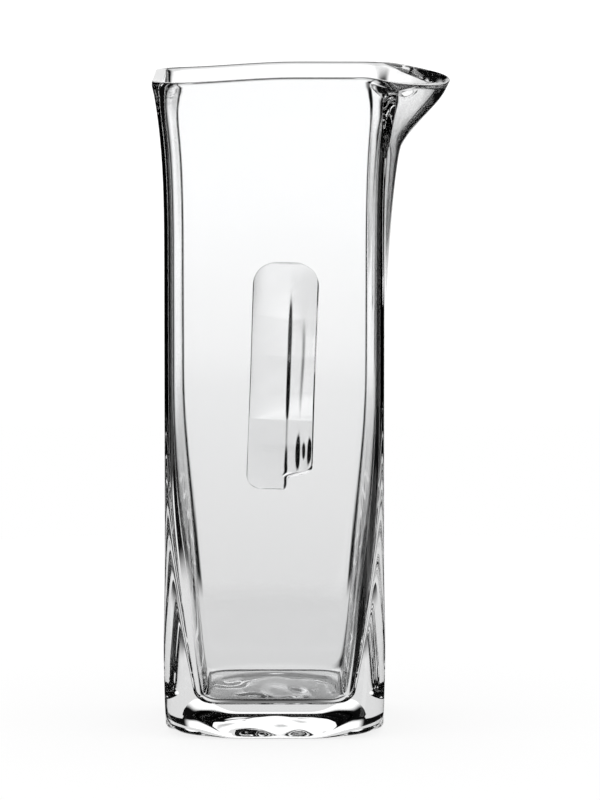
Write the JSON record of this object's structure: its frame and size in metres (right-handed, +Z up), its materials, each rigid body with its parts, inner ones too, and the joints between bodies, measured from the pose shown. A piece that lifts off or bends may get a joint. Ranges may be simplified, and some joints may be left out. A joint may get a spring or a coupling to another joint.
{
  "type": "cocktail pitcher",
  "caption": "Tall soft-square clear glass pitcher with a flared lip, a pulled pouring spout, a thick foot and a fused strap handle a quarter turn from the spout.",
  "frame": {"origin": "middle of the foot, on the surface the pitcher stands on", "axes": "+Z up, +X towards the spout, +Y towards the handle"},
  "size_m": [0.1138, 0.1237, 0.254],
  "materials": {
    "clear_glass": "clear, colourless, fire-polished hand-blown glass"
  },
  "bodies": {
    "root": {"vessel": "clear_glass", "handle": "clear_glass"}
  },
  "joints": []
}
